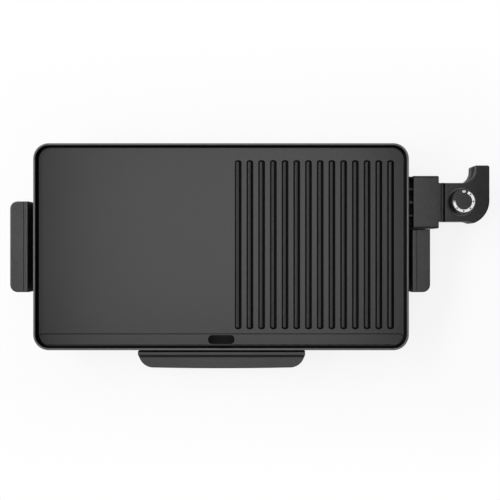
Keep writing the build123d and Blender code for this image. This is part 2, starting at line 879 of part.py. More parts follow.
# Half of the probe body: up is 1 for the upper shell and -1 for the lower
def make_shell(up):
    depth = up * body_height / 2
    roof = depth - up * shell_wall
    with BuildPart() as shell:
        with BuildSketch(level(body_middle)):
            add(body_plan.sketch)
        extrude(amount=depth)
        fillet(shell.faces().sort_by(Axis.Z, reverse=up < 0)[-1].edges(), shell_round)
        chamfer(shell.faces().sort_by(Axis.Z, reverse=up < 0)[0].edges(), seam_chamfer)
        with BuildSketch(level(body_middle)):
            add(body_room.sketch)
        extrude(amount=roof, mode=Mode.SUBTRACT)
        with BuildSketch(facing_right(body_face)):
            with Locations((probe_offset, body_middle)):
                Rectangle(tongue_width + 2 * tongue_fit, tongue_height + 2 * tongue_fit)
        extrude(amount=shell_wall, mode=Mode.SUBTRACT)
        with BuildSketch(facing_front(tail_end)):
            with Locations((tail_middle, body_middle)):
                Circle(gland_radius + seat_fit)
        extrude(amount=shell_wall, mode=Mode.SUBTRACT)
        with BuildSketch(level(body_middle)):
            with Locations(*post_places):
                Circle(shell_post_radius)
        extrude(amount=roof + up * shell_wall / 2)
    return shell


upper_half = make_shell(1)
with BuildPart() as upper_shell:
    add(upper_half.part)
    with BuildSketch(level(body_middle)):
        with Locations(*post_places):
            Circle(small_screw_radius + seat_fit)
    extrude(amount=small_screw_bite, mode=Mode.SUBTRACT)
    with BuildSketch(level(body_top - shell_wall)):
        with Locations((dial_x, probe_offset)):
            Circle(bush_radius)
    extrude(amount=-bush_length)
    with BuildSketch(level(body_top)):
        with Locations((dial_x, probe_offset)):
            Circle(spindle_radius + spindle_fit)
    extrude(amount=-shell_wall - bush_length, mode=Mode.SUBTRACT)

lower_half = make_shell(-1)
with BuildPart() as lower_shell:
    add(lower_half.part)
    with BuildSketch(level(body_middle)):
        with Locations(*post_places):
            Circle(small_screw_radius + screw_clearance)
    extrude(amount=-body_height / 2, mode=Mode.SUBTRACT)
    with BuildSketch(level(body_bottom)):
        with Locations(*post_places):
            Circle(small_screw_head_radius + screw_clearance)
    extrude(amount=shell_screw_recess, mode=Mode.SUBTRACT)
    with BuildSketch(level(frame_bottom)):
        with Locations(*frame_post_places):
            Circle(frame_post_radius)
    extrude(amount=-frame_lift - shell_wall / 2)

shell_screws = upright_screws(
    post_places,
    body_bottom + shell_screw_recess,
    small_screw_head_radius,
    small_screw_head_height,
    small_screw_radius,
    body_height / 2 - shell_screw_recess + small_screw_bite - screw_clearance,
)

# Flanged ring in the tail's end
with BuildPart() as cord_gland:
    with BuildSketch(facing_front(tail_end)):
        with Locations((tail_middle, body_middle)):
            Circle(gland_radius)
    extrude(amount=gland_length)
    with BuildSketch(facing_front(tail_end - shell_wall - seat_fit)):
        with Locations((tail_middle, body_middle)):
            Circle(gland_flange_radius)
    extrude(amount=gland_flange_length)
    with BuildSketch(facing_front(tail_end)):
        with Locations((tail_middle, body_middle)):
            Circle(gland_bore_radius)
    extrude(amount=gland_length, mode=Mode.SUBTRACT)

# Contact block in the neck's passage, bored for sockets and rod
with BuildPart() as contact_block:
    with BuildSketch(facing_right(block_face)):
        with Locations((probe_offset, body_middle)):
            Rectangle(passage_width - 2 * block_fit, passage_height - 2 * block_fit)
        with Locations(*pin_places):
            Circle(socket_radius + seat_fit, mode=Mode.SUBTRACT)
        with Locations(sensor_place):
            Circle(sensor_radius + seat_fit, mode=Mode.SUBTRACT)
    extrude(amount=block_length)

# Slit contact sockets that take the pins
with BuildPart() as contact_sockets:
    with BuildSketch(facing_right(block_face - socket_reach)):
        with Locations(*pin_places):
            Circle(socket_radius)
            Circle(pin_radius + socket_bore_gap, mode=Mode.SUBTRACT)
    extrude(amount=socket_reach + block_length + socket_tail)
    with BuildSketch(facing_right(block_face - socket_reach)):
        with Locations(*pin_places):
            Rectangle(socket_slit, 3 * socket_radius)
    extrude(amount=socket_slit_length, mode=Mode.SUBTRACT)

# Sensor rod with a rounded tip
with BuildPart() as sensor_rod:
    with BuildSketch(facing_right(sensor_tip)):
        with Locations(sensor_place):
            Circle(sensor_radius)
    extrude(amount=frame_face + frame_sheet + rod_tail - sensor_tip)
    chamfer(sensor_rod.faces().sort_by(Axis.X)[0].edges(), sensor_tip_bevel)

# Thermostat frame: an L of strip on two posts, pierced for the rod
with BuildPart() as thermostat_frame:
    with BuildSketch(level(frame_bottom)):
        with Locations((frame_face + frame_length / 2, probe_offset)):
            Rectangle(frame_length, frame_width)
    extrude(amount=frame_sheet)
    with BuildSketch(facing_right(frame_face)):
        with Locations((probe_offset, frame_bottom + upright_height / 2)):
            Rectangle(frame_width, upright_height)
        with Locations(sensor_place):
            Circle(sensor_radius + seat_fit, mode=Mode.SUBTRACT)
    extrude(amount=frame_sheet)

# Ceramic rings of the contact stack
with BuildPart() as ceramic_stack:
    for ring_bottom in (frame_top, lower_leaf + leaf_thickness, upper_leaf + leaf_thickness):
        with BuildSketch(level(ring_bottom)):
            with Locations((stack_x, probe_offset)):
                Circle(ring_radius)
                Circle(rivet_radius + seat_fit, mode=Mode.SUBTRACT)
        extrude(amount=ring_height)

# Two leaves clamped between the rings
with BuildPart() as contact_leaves:
    for leaf_bottom in (lower_leaf, upper_leaf):
        with BuildSketch(level(leaf_bottom)):
            with Locations((leaf_start + leaf_length / 2, probe_offset)):
                Rectangle(leaf_length, leaf_width)
            with Locations((stack_x, probe_offset)):
                Circle(rivet_radius + seat_fit, mode=Mode.SUBTRACT)
        extrude(amount=leaf_thickness)

# Contact points facing each other on the leaves
with BuildPart() as contact_points:
    with BuildSketch(level(lower_leaf + leaf_thickness)):
        with Locations((leaf_start + point_radius + leaf_thickness, probe_offset)):
            Circle(point_radius)
    extrude(amount=point_height)
    with BuildSketch(level(upper_leaf)):
        with Locations((leaf_start + point_radius + leaf_thickness, probe_offset)):
            Circle(point_radius)
    extrude(amount=-point_height)

# Rivet through the stack
with BuildPart() as stack_rivet:
    with BuildSketch(level(frame_top)):
        with Locations((stack_x, probe_offset)):
            Circle(rivet_radius)
    extrude(amount=stack_top - frame_top)
    with BuildSketch(level(stack_top)):
        with Locations((stack_x, probe_offset)):
            Circle(rivet_head_radius)
    extrude(amount=rivet_head_height)

# Dial: a tapered cap on a skirt, bored from below
dial_axis = Axis((plate_x + dial_x, plate_y + probe_offset, 0), (0, 0, 1))
spindle_top = dial_top - dial_roof - spindle_end_gap
with BuildPart() as temperature_dial:
    with BuildSketch(Plane((plate_x + dial_x, plate_y + probe_offset, 0), x_dir=(1, 0, 0), z_dir=(0, -1, 0))):
        with BuildLine():
            Polyline(
                (0, dial_bottom),
                (dial_radius, dial_bottom),
                (dial_radius, dial_bottom + dial_skirt),
                (dial_neck_radius, dial_bottom + dial_skirt + dial_skirt_slope),
                (dial_top_radius, dial_top),
                (0, dial_top),
                close=True,
            )
        make_face()
    revolve(axis=dial_axis)
    chamfer(temperature_dial.faces().sort_by(Axis.Z)[-1].edges(), dial_bevel)
    with BuildSketch(level(dial_bottom)):
        with Locations((dial_x, probe_offset)):
            Circle(spindle_radius + seat_fit)
    extrude(amount=dial_height - dial_roof, mode=Mode.SUBTRACT)

# Spindle with the collar that keeps it in its bush
with BuildPart() as dial_spindle:
    spindle_bottom = upper_leaf + leaf_thickness + spindle_leaf_gap
    collar_top = body_top - shell_wall - bush_length - spindle_collar_gap
    with BuildSketch(level(spindle_bottom)):
        with Locations((dial_x, probe_offset)):
            Circle(spindle_radius)
    extrude(amount=spindle_top - spindle_bottom)
    with BuildSketch(level(collar_top)):
        with Locations((dial_x, probe_offset)):
            Circle(spindle_collar_radius)
    extrude(amount=-spindle_collar_height)

pieces = {
    "griddle_plate": griddle_plate,
    "heating_element": heating_element,
    "terminal_pins": terminal_pins,
    "pin_insulators": pin_insulators,
    "socket_bracket": socket_bracket,
    "bracket_screws": bracket_screws,
    "left_stand": left_stand,
    "right_stand": right_stand,
    "stand_spacers": stand_spacers,
    "stand_screws": stand_screws,
    "rubber_feet": rubber_feet,
    "left_tray_rail": left_rail,
    "right_tray_rail": right_rail,
    "rail_screws": rail_screws,
    "drip_tray": drip_tray,
    "probe_hood": probe_hood,
    "upper_shell": upper_shell,
    "lower_shell": lower_shell,
    "shell_screws": shell_screws,
    "cord_gland": cord_gland,
    "contact_block": contact_block,
    "contact_sockets": contact_sockets,
    "sensor_rod": sensor_rod,
    "thermostat_frame": thermostat_frame,
    "ceramic_stack": ceramic_stack,
    "contact_leaves": contact_leaves,
    "contact_points": contact_points,
    "stack_rivet": stack_rivet,
    "temperature_dial": temperature_dial,
    "dial_spindle": dial_spindle,
}
os.makedirs("parts", exist_ok=True)
for name, piece in pieces.items():
    piece.part.label = name
    export_step(piece.part, f"parts/{name}.step")
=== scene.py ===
import bpy
import json
import math
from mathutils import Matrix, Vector


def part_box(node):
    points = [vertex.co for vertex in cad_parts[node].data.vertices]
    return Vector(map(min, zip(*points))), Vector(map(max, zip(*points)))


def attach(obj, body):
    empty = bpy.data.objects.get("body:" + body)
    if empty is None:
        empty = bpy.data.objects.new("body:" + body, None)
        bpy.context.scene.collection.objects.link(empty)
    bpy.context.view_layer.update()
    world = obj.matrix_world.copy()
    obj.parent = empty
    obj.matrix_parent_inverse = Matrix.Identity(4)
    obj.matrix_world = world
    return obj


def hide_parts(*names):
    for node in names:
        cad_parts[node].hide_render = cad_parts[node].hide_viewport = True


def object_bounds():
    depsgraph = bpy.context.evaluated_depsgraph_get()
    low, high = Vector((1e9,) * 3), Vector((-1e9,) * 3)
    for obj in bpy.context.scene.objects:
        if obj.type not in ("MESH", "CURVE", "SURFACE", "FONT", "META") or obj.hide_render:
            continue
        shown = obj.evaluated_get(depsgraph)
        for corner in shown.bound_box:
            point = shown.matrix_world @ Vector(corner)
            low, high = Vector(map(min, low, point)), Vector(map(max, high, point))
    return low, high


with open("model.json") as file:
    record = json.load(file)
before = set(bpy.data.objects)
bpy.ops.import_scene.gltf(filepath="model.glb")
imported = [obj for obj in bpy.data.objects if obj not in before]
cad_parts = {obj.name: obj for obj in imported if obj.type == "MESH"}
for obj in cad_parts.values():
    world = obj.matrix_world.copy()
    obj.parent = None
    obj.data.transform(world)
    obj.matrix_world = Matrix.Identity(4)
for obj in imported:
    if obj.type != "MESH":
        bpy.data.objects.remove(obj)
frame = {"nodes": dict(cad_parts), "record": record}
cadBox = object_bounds()
nodes = frame["nodes"]
print("frame loaded:", len(nodes), "nodes")


# wraps one shader socket, so that sums on sockets add Math nodes
class Sock:
    def __init__(self, tree, socket):
        self.tree = tree
        self.socket = socket

    def math(self, operation, first, second):
        node = self.tree.nodes.new("ShaderNodeMath")
        node.operation = operation
        for slot, value in zip(node.inputs, (first, second)):
            if isinstance(value, Sock):
                self.tree.links.new(value.socket, slot)
            else:
                slot.default_value = value
        return Sock(self.tree, node.outputs[0])

    def __add__(self, other):
        return self.math("ADD", self, other)

    def __radd__(self, other):
        return self.math("ADD", other, self)

    def __sub__(self, other):
        return self.math("SUBTRACT", self, other)

    def __rsub__(self, other):
        return self.math("SUBTRACT", other, self)

    def __mul__(self, other):
        return self.math("MULTIPLY", self, other)

    def __rmul__(self, other):
        return self.math("MULTIPLY", other, self)

    def __gt__(self, other):
        return self.math("GREATER_THAN", self, other)

    def __lt__(self, other):
        return self.math("LESS_THAN", self, other)

    def atMost(self, other):
        return self.math("MINIMUM", self, other)

    def atLeast(self, other):
        return self.math("MAXIMUM", self, other)

    # held between 0 and 1
    def clamped(self):
        return self.atLeast(0.0).atMost(1.0)

    # 0 below start, 1 from start + width on
    def rising(self, start, width):
        return ((self - start) * (1 / width)).clamped()


# adds nodes to one tree
class NodeBench:
    def __init__(self, tree):
        self.tree = tree

    def node(self, kind, settings=None, inputs=None, out=0):
        made = self.tree.nodes.new(kind)
        for key, value in (settings or {}).items():
            setattr(made, key, value)
        for key, value in (inputs or {}).items():
            if isinstance(value, Sock):
                self.tree.links.new(value.socket, made.inputs[key])
            else:
                made.inputs[key].default_value = value
        return Sock(self.tree, made.outputs[out])

    def axes(self, vector):
        apart = self.node("ShaderNodeSeparateXYZ", inputs={"Vector": vector}).socket.node
        return {axis: Sock(self.tree, output) for axis, output in zip("xyz", apart.outputs)}

    # 1 for what the eye sees straight, in a gloss or through glass
    def plainView(self):
        seen = self.node("ShaderNodeLightPath", out="Is Camera Ray")
        path = seen.socket.node
        for ray in ("Is Glossy Ray", "Is Transmission Ray"):
            seen = seen + Sock(self.tree, path.outputs[ray])
        return seen.atMost(1.0)


# one material: its Principled shader on Object coordinates
class Finish(NodeBench):
    def __init__(self, name, **fixed):
        self.material = bpy.data.materials.new(name)
        self.material.use_nodes = True
        super().__init__(self.material.node_tree)
        self.shader = self.tree.nodes["Principled BSDF"]
        for socket, value in fixed.items():
            self.shader.inputs[socket.replace("_", " ")].default_value = value
        self.place = self.node("ShaderNodeTexCoord", out="Object")

    def feed(self, **links):
        for socket, value in links.items():
            self.tree.links.new(value.socket, self.shader.inputs[socket.replace("_", " ")])

    def noise(self, size, detail=2.0, stretch=(1, 1, 1)):
        where = self.node("ShaderNodeMapping", inputs={"Vector": self.place, "Scale": stretch})
        return self.node("ShaderNodeTexNoise", inputs={"Vector": where, "Scale": 1 / size, "Detail": detail})

    # 1 between the limits given for some axes, 0 elsewhere
    def within(self, limits):
        places = self.axes(self.place)
        inside = 1.0
        for axis, (start, end) in limits.items():
            inside = (places[axis] > start) * (places[axis] < end) * inside
        return inside

    def mix(self, first, second, factor):
        first, second = (end if isinstance(end, Sock) else (*end, 1) for end in (first, second))
        return self.node("ShaderNodeMix", {"data_type": "RGBA"}, {6: first, 7: second, 0: factor}, out=2)

    def bump(self, height, depth):
        return self.node("ShaderNodeBump", inputs={"Height": height, "Distance": depth, "Strength": 1.0})


# satin moulded plastic; sizes in metres throughout
plasticLook = dict(
    low=(0.0045, 0.0044, 0.0045), high=(0.0075, 0.0074, 0.0074), gloss=0.66, rough=0.28,
    grain=0.0006, grainDepth=0.00004, grainTone=0.6, grainRough=0.12, cloud=0.04, cloudRough=0.08,
)
trayLook = dict(plasticLook, gloss=0.57, rough=0.30)
dialLook = dict(plasticLook, gloss=0.84)


# lines are grooves, corners, gaps and walls given painted shade (a darker colour, and Metallic to dim the
# gloss) and added roughness: limits, depth of painted shade, added roughness
def mouldedPlastic(name, look, lines=()):
    made = Finish(name, Specular_IOR_Level=look["gloss"])
    grain = made.noise(look["grain"])
    cloud = made.noise(look["cloud"])
    tone = grain * look["grainTone"] + cloud * (1 - look["grainTone"])
    rough = look["rough"] + (cloud - 0.5) * look["cloudRough"] + (grain - 0.5) * look["grainRough"]
    # painted shade: darker tone and Metallic wherever a line's depth is above nought
    paintedShades = []
    for limits, depth, moreRough in lines:
        inside = made.within(limits)
        rough = rough + inside * moreRough
        if depth:
            paintedShades.append(inside * depth)
    if paintedShades:
        paintedShade = sum(paintedShades).atMost(1.0)
        tone = tone * (1 - paintedShade)
        made.feed(Metallic=paintedShade)
    made.feed(
        Base_Color=made.mix(look["low"], look["high"], tone),
        Roughness=rough,
        Normal=made.bump(grain, look["grainDepth"]),
    )
    return made.material


# cooking coat: fine grain and flecks, painted shade on the ridges and the rim's walls, and a painted
# highlight, pale and less metallic, along the rim's edge
coatLook = dict(
    low=(0.0290, 0.0283, 0.0287), high=(0.0395, 0.0386, 0.0390),
    shine=0.88, grazing=(0.8, 0.8, 0.8), rough=0.24,
    grain=0.0008, grainDepth=0.00002, grainTone=0.5, grainRough=0.08, cloud=0.09, cloudRough=0.05,
    fleck=0.0022, fleckDetail=1.0, fleckFrom=0.66, fleckTone=0.5,
    ridgeFoot=0.0628, ridgeRise=0.0030, ridgeShade=0.42,
    rimHighlightTone=(0.120, 0.118, 0.118), edgeStart=0.0708, edgeRise=0.0009,
    edgeCover=0.5, edgeGrain=0.8, edgeRough=0.06,
)


def nonstickCoat(look):
    made = Finish("nonstickCoat", Specular_Tint=(*look["grazing"], 1))
    grain = made.noise(look["grain"])
    cloud = made.noise(look["cloud"])
    fleck = (made.noise(look["fleck"], look["fleckDetail"]) > look["fleckFrom"]) * look["fleckTone"]
    height = made.axes(made.place)["z"]
    # painted shade from the ridge foot up, painted highlight from the rim's edge start up
    raised = height.rising(look["ridgeFoot"], look["ridgeRise"])
    rimHighlight = height.rising(look["edgeStart"], look["edgeRise"])
    tone = grain * look["grainTone"] + cloud * (1 - look["grainTone"]) + fleck
    flat = made.mix(look["low"], look["high"], tone.atMost(1.0))
    ridgeShaded = made.mix(flat, (0, 0, 0), raised * look["ridgeShade"])
    rough = look["rough"] + (cloud - 0.5) * look["cloudRough"] + (grain - 0.5) * look["grainRough"]
    made.feed(
        Base_Color=made.mix(ridgeShaded, look["rimHighlightTone"], rimHighlight * (look["edgeCover"] + grain * look["edgeGrain"])),
        Metallic=look["shine"] - rimHighlight * look["shine"],
        Roughness=rough + rimHighlight * look["edgeRough"],
        Normal=made.bump(grain, look["grainDepth"]),
    )
    return made.material


# metals: fine streaks, drawn out along X on pins and screws
metalLook = dict(
    streak=0.0012, streakDetail=3.0, streakDepth=0.00003, streakTone=0.5, streakRough=0.2, cloud=0.02,
)
metalKinds = dict(
    plainSteel=dict(low=(0.42, 0.42, 0.42), high=(0.62, 0.62, 0.61), rough=0.32, stretch=(1, 12, 12)),
    # a darker copy of the plain steel: painted shade for the terminal pins and sensor rod, which sit in the
    # hood's shadow
    paintedShadeSteel=dict(low=(0.050, 0.050, 0.050), high=(0.085, 0.085, 0.082), rough=0.45, stretch=(1, 12, 12)),
    heaterSheath=dict(low=(0.10, 0.095, 0.09), high=(0.22, 0.20, 0.17), rough=0.5, stretch=(1, 1, 1)),
    plainBrass=dict(low=(0.55, 0.42, 0.18), high=(0.72, 0.56, 0.28), rough=0.35, stretch=(1, 1, 1)),
)


def plainMetal(name):
    look = dict(metalLook, **metalKinds[name])
    made = Finish(name, Metallic=1.0)
    streak = made.noise(look["streak"], look["streakDetail"], look["stretch"])
    cloud = made.noise(look["cloud"])
    tone = streak * look["streakTone"] + cloud * (1 - look["streakTone"])
    made.feed(
        Base_Color=made.mix(look["low"], look["high"], tone),
        Roughness=look["rough"] + (streak - 0.5) * look["streakRough"],
        Normal=made.bump(streak, look["streakDepth"]),
    )
    return made.material


# ceramic, phenolic, rubber and dark ink: clouds are some grains wide
solidLook = dict(gloss=0.4, grainDetail=3.0, grainTone=0.5, grainRough=0.15, cloudGrains=25)
solidKinds = dict(
    bareCeramic=dict(
        low=(0.66, 0.63, 0.57), high=(0.78, 0.76, 0.70), rough=0.65, grain=0.0006, grainDepth=0.00004,
    ),
    brownPhenolic=dict(
        low=(0.035, 0.020, 0.012), high=(0.070, 0.042, 0.025), rough=0.5, grain=0.0008, grainDepth=0.00004,
    ),
    footRubber=dict(
        low=(0.010, 0.010, 0.010), high=(0.020, 0.020, 0.020), rough=0.8, grain=0.0006, grainDepth=0.00006,
    ),
    dotInk=dict(
        low=(0.008, 0.008, 0.008), high=(0.014, 0.014, 0.014), rough=0.5, grain=0.0005, grainDepth=0.00002,
    ),
)


def dullSolid(name):
    look = dict(solidLook, **solidKinds[name])
    made = Finish(name, Specular_IOR_Level=look["gloss"])
    grain = made.noise(look["grain"], look["grainDetail"])
    cloud = made.noise(look["grain"] * look["cloudGrains"])
    tone = grain * look["grainTone"] + cloud * (1 - look["grainTone"])
    made.feed(
        Base_Color=made.mix(look["low"], look["high"], tone),
        Roughness=look["rough"] + (grain - 0.5) * look["grainRough"],
        Normal=made.bump(grain, look["grainDepth"]),
    )
    return made.material


# painted shade lines, measured inward from a piece's own end: middle, width, depth of painted shade, added
# roughness
lineLook = dict(
    gripLine=(0.0175, 0.0010, 0.30, 0.15),
    gripWall=(0.0231, 0.0004, 0.70, 0.35),
    hoodEdge=(0.0008, 0.0020, 0.32, 0.36),
    neckRing=(0.01055, 0.0007, 0.45, 0.22),
    neckEnd=(0.0080, 0.0013, 1.0, 0.50),
    shellLip=(0.0001, 0.0012, 0.85, 0.42),
    shellEdge=(0.0012, 0.0010, 0.30, 0.15),
    bandBack=(0.0221, 0.0016, 0.80, 0.40),
    bandStep=(0.0166, 0.0016, 0.75, 0.38),
    bandFoot=(0.0152, 0.0012, 0.35, 0.18),
)
# walls between two heights: lower, upper, depth of painted shade (none on the lower wall and the tray's
# basin, which only get roughness), added roughness
wallLook = dict(
    upperWall=(0.0445, 0.0580, 0.55, 0.50),
    lowerWall=(0.0, 0.0430, 0.0, 0.34),
    trayBasin=(0.0, 0.0340, 0.0, 0.38),
)
# painted shade on the tops of the right stand's webs, in the gap beside the hood
webLook = dict(inner=0.0310, outer=0.0231, height=0.050, margin=0.0005, depth=0.80, rough=0.40)


def shadeLine(axis, end, inward, name):
    middle, width, depth, moreRough = lineLook[name]
    place = end + inward * middle
    return {axis: (place - width / 2, place + width / 2)}, depth, moreRough


def shadeWall(name):
    lower, upper, depth, moreRough = wallLook[name]
    return {"z": (lower, upper)}, depth, moreRough


def shadeWebs(end):
    limits = {
        "x": (end - webLook["inner"], end - webLook["outer"]),
        "z": (webLook["height"] - webLook["margin"], webLook["height"] + webLook["margin"]),
    }
    return limits, webLook["depth"], webLook["rough"]


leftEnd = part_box("left_stand")[0].x
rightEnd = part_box("right_stand")[1].x
hoodLow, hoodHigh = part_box("probe_hood")
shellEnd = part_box("upper_shell")[0].x
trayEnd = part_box("drip_tray")[0].y
# painted shade in the grips' grooves and inner walls, the gap beside the hood, the hood's rings and edges,
# the shell's lip and upper wall, and the tray's band
standLines = [
    shadeLine("x", leftEnd, 1, "gripLine"),
    shadeLine("x", leftEnd, 1, "gripWall"),
    shadeLine("x", rightEnd, -1, "gripLine"),
    shadeLine("x", rightEnd, -1, "gripWall"),
    shadeWebs(rightEnd),
]
hoodLines = [
    shadeLine("x", hoodHigh.x, -1, "neckRing"),
    shadeLine("x", hoodHigh.x, -1, "neckEnd"),
    shadeLine("y", hoodLow.y, 1, "hoodEdge"),
    shadeLine("y", hoodHigh.y, -1, "hoodEdge"),
]
shellLines = [
    shadeLine("x", shellEnd, 1, "shellLip"),
    shadeLine("x", shellEnd, 1, "shellEdge"),
    shadeWall("upperWall"),
]
trayLines = [
    shadeLine("y", trayEnd, 1, "bandBack"),
    shadeLine("y", trayEnd, 1, "bandStep"),
    shadeLine("y", trayEnd, 1, "bandFoot"),
    shadeWall("trayBasin"),
]
steel = plainMetal("plainSteel")
# steel with painted shade, for the pins and the rod
paintedShadeSteel = plainMetal("paintedShadeSteel")
standPlastic = mouldedPlastic("standPlastic", plasticLook, standLines)
slotFinish = {
    "nonstick": nonstickCoat(coatLook),
    "black_plastic": mouldedPlastic("satinPlastic", plasticLook),
    "steel": steel,
    "sheath": plainMetal("heaterSheath"),
    "brass": plainMetal("plainBrass"),
    "ceramic": dullSolid("bareCeramic"),
    "phenolic": dullSolid("brownPhenolic"),
    "rubber": dullSolid("footRubber"),
}
ownFinish = {
    "terminal_pins": paintedShadeSteel,
    "sensor_rod": paintedShadeSteel,
    "left_stand": standPlastic,
    "right_stand": standPlastic,
    "drip_tray": mouldedPlastic("trayPlastic", trayLook, trayLines),
    "probe_hood": mouldedPlastic("hoodPlastic", plasticLook, hoodLines),
    "upper_shell": mouldedPlastic("shellPlastic", plasticLook, shellLines),
    "lower_shell": mouldedPlastic("lowerPlastic", plasticLook, [shadeWall("lowerWall")]),
    "temperature_dial": mouldedPlastic("dialPlastic", dialLook),
}
for part in frame["record"]["subparts"]:
    materials = nodes[part["node"]].data.materials
    materials.clear()
    materials.append(ownFinish.get(part["node"], slotFinish[part["material_slot"]]))


def deselectAll():
    if bpy.context.mode != "OBJECT":
        bpy.ops.object.mode_set(mode="OBJECT")
    bpy.ops.object.select_all(action="DESELECT")


def selectOnly(pieces):
    deselectAll()
    for piece in pieces:
        piece.select_set(True)
    bpy.context.view_layer.objects.active = pieces[0]


# puts a piece's place into its mesh
def settlePlace():
    bpy.ops.object.transform_apply(location=True, rotation=True, scale=True)


def joinPieces(pieces):
    selectOnly(pieces)
    bpy.ops.object.join()
    settlePlace()
    return bpy.context.object


# leaves the piece in edit mode with only the wanted faces picked
def pickFaces(piece, wanted):
    bpy.ops.object.mode_set(mode="EDIT")
    bpy.ops.mesh.select_mode(type="FACE")
    bpy.ops.mesh.select_all(action="DESELECT")
    bpy.ops.object.mode_set(mode="OBJECT")
    for face in piece.data.polygons:
        face.select = wanted(face)
    bpy.ops.object.mode_set(mode="EDIT")


def finishPiece(piece, name, body, material):
    piece.name = name
    piece.data.materials.clear()
    piece.data.materials.append(material)
    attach(piece, body)


# printed scale on the dial: a white ring that fades out, dark dots and a wide nought
dialPrint = dict(
    outer=0.0136, inner=0.0103, sides=180, fromAngle=23, toAngle=278, fadeAngle=20, lift=0.00004,
    dotRadius=0.00100, dotRing=0.0119, dotSides=24, dotAngles=(44, 90, 137, 182, 225),
    markRing=0.0121, markSize=0.0034, markWeight=0.00018, markStretch=2.3,
)
inkLook = dict(
    low=(0.93, 0.93, 0.93), high=(0.98, 0.98, 0.98), gloss=0.4, rough=0.45,
    wear=0.004, grain=0.0005, grainDepth=0.00002, grainRough=0.1,
)
dialLow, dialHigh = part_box("temperature_dial")
dialMiddle = Vector(((dialLow.x + dialHigh.x) / 2, (dialLow.y + dialHigh.y) / 2, dialHigh.z))
printLift = Vector((0, 0, dialPrint["lift"]))


# angles go clockwise from the back, as on a clock
def clockPoint(ring, angle):
    turn = math.radians(90 - angle)
    return dialMiddle + Vector((ring * math.cos(turn), ring * math.sin(turn), 0))


def clockAngle(point):
    flat = point - dialMiddle
    return math.degrees(math.atan2(flat.x, flat.y)) % 360


def onScale(angle):
    return dialPrint["fromAngle"] <= angle <= dialPrint["toAngle"]


def printInk(look):
    made = Finish("scaleInk", Specular_IOR_Level=look["gloss"])
    grain = made.noise(look["grain"])
    wear = made.noise(look["wear"])
    places = made.axes(made.place)
    across = places["x"] - dialMiddle.x
    upward = places["y"] - dialMiddle.y
    # the same clock angle as a share of a whole turn
    turn = across.math("ARCTAN2", across * -1, upward * -1) * (0.5 / math.pi) + 0.5
    fadeStart = (dialPrint["toAngle"] - dialPrint["fadeAngle"]) / 360
    onRing = turn < (dialPrint["toAngle"] + dialPrint["fadeAngle"]) / 360
    fade = turn.rising(fadeStart, dialPrint["fadeAngle"] / 360) * onRing
    made.feed(
        Base_Color=made.mix(made.mix(look["low"], look["high"], wear), plasticLook["high"], fade),
        Roughness=look["rough"] + (grain - 0.5) * look["grainRough"],
        Normal=made.bump(grain, look["grainDepth"]),
    )
    return made.material


whiteInk = printInk(inkLook)
dotInk = dullSolid("dotInk")

deselectAll()
bpy.ops.mesh.primitive_circle_add(
    vertices=dialPrint["sides"], radius=dialPrint["outer"], fill_type="NOTHING",
    location=dialMiddle + printLift,
)
scaleRing = bpy.context.object
settlePlace()
bpy.ops.object.mode_set(mode="EDIT")
bpy.ops.mesh.select_all(action="SELECT")
bpy.ops.mesh.extrude_edges_move()
share = dialPrint["inner"] / dialPrint["outer"]
bpy.ops.transform.resize(value=(share, share, 1), center_override=dialMiddle + printLift)
bpy.ops.object.mode_set(mode="OBJECT")
pickFaces(scaleRing, lambda face: not onScale(clockAngle(face.center)))
bpy.ops.mesh.delete(type="FACE")
bpy.ops.mesh.select_all(action="SELECT")
bpy.ops.mesh.normals_make_consistent(inside=False)
bpy.ops.object.mode_set(mode="OBJECT")
if scaleRing.data.polygons[0].normal.z < 0:
    bpy.ops.object.mode_set(mode="EDIT")
    bpy.ops.mesh.flip_normals()
    bpy.ops.object.mode_set(mode="OBJECT")
finishPiece(scaleRing, "dialScaleRing", "dial", whiteInk)

deselectAll()
dots = []
for angle in dialPrint["dotAngles"]:
    bpy.ops.mesh.primitive_circle_add(
        vertices=dialPrint["dotSides"], radius=dialPrint["dotRadius"], fill_type="NGON",
        location=clockPoint(dialPrint["dotRing"], angle) + 2 * printLift,
    )
    dots.append(bpy.context.object)
finishPiece(joinPieces(dots), "dialScaleDots", "dial", dotInk)

deselectAll()
bpy.ops.object.text_add(location=clockPoint(dialPrint["markRing"], 0) + printLift)
nought = bpy.context.object
nought.data.body = "0"
nought.data.offset = dialPrint["markWeight"]
nought.data.size = dialPrint["markSize"]
nought.data.align_x = "CENTER"
nought.data.align_y = "CENTER"
nought.scale.x = dialPrint["markStretch"]
bpy.ops.object.convert(target="MESH")
settlePlace()
finishPiece(bpy.context.object, "dialNought", "dial", whiteInk)
print("dial print made")

# pan-head screws, head down: cross recess, plain neck, thread cut into the shank
largeScrew = dict(head=0.0040, headHeight=0.0026, shank=0.0020)
smallScrew = dict(head=0.0030, headHeight=0.0018, shank=0.0015)
screwKinds = {
    "stand_screws": dict(largeScrew, piece="standPanScrews", body="griddle"),
    "rail_screws": dict(smallScrew, piece="railPanScrews", body="griddle"),
    "bracket_screws": dict(smallScrew, piece="bracketPanScrews", body="griddle"),
    "shell_screws": dict(smallScrew, piece="shellPanScrews", body="control_probe"),
}
# shares are of the head's radius or height, or of the shank
screwLook = dict(
    sides=32, domeShare=0.45, domeSteps=4,
    crossLength=1.15, crossWidth=0.26, crossDepth=0.62, crossTaper=0.55,
    plainShare=0.30, pitch=0.0012, rootShare=0.86, tipShare=0.55,
    apart=2.5, facing=0.9, mergeGap=0.000002, smoothAngle=35,
)


def facesDown(face):
    return face.normal.z < -screwLook["facing"]


def facesUp(face):
    return face.normal.z > screwLook["facing"]


# one axis for each screw of a CAD node, whose corners are sorted by nearness
def screwAxes(node, head):
    groups = []
    for vertex in node.data.vertices:
        for group in groups:
            if (group[0].xy - vertex.co.xy).length < screwLook["apart"] * head:
                group.append(vertex.co)
                break
        else:
            groups.append([vertex.co])
    axes = []
    for group in groups:
        across = [corner.x for corner in group]
        along = [corner.y for corner in group]
        axes.append(Vector(((min(across) + max(across)) / 2, (min(along) + max(along)) / 2, 0)))
    return axes


